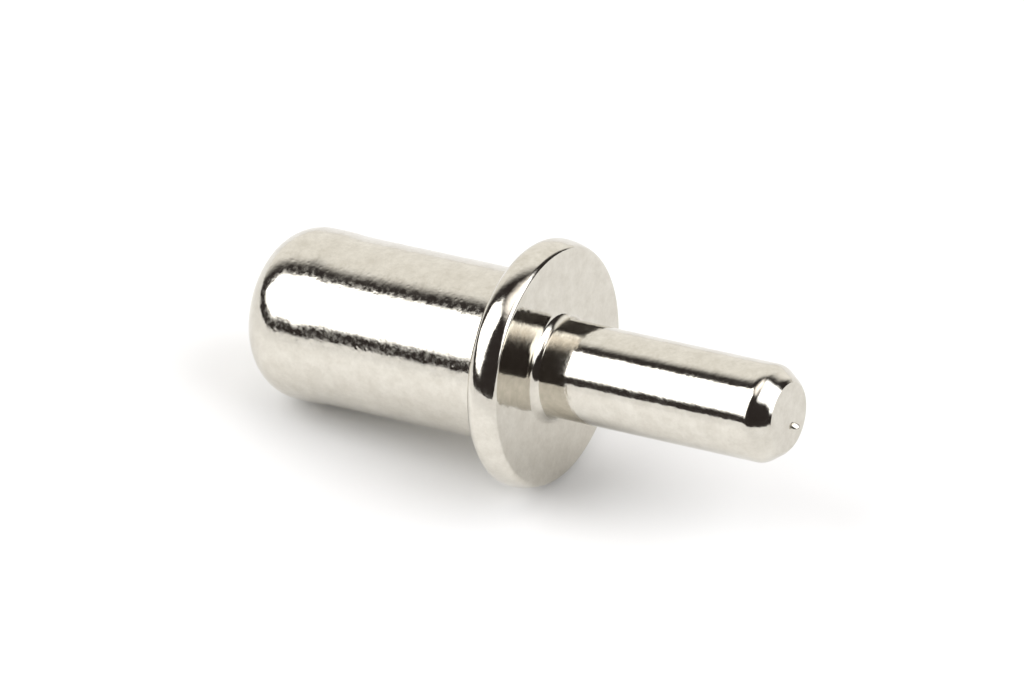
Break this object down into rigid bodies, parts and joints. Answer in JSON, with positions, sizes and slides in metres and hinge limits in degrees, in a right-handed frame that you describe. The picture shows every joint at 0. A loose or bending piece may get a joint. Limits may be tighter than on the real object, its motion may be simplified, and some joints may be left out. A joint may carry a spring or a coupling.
{
  "type": "shelf support pin",
  "caption": "Double-ended plated steel shelf support pin: a thin pin with a tapered end, a crowned flange, and a thicker round-ended barrel.",
  "frame": {"origin": "centre of the flange's seat face, on the turning axis", "axes": "+Z along the turning axis, from the barrel's end to the thin pin's end, which stands up; X and Y are any two directions across it"},
  "size_m": [0.0072, 0.0072, 0.0169],
  "materials": {
    "nickel_plate": "bright nickel plate over turned steel"
  },
  "bodies": {
    "root": {"shelf_pin": "nickel_plate"}
  },
  "joints": []
}
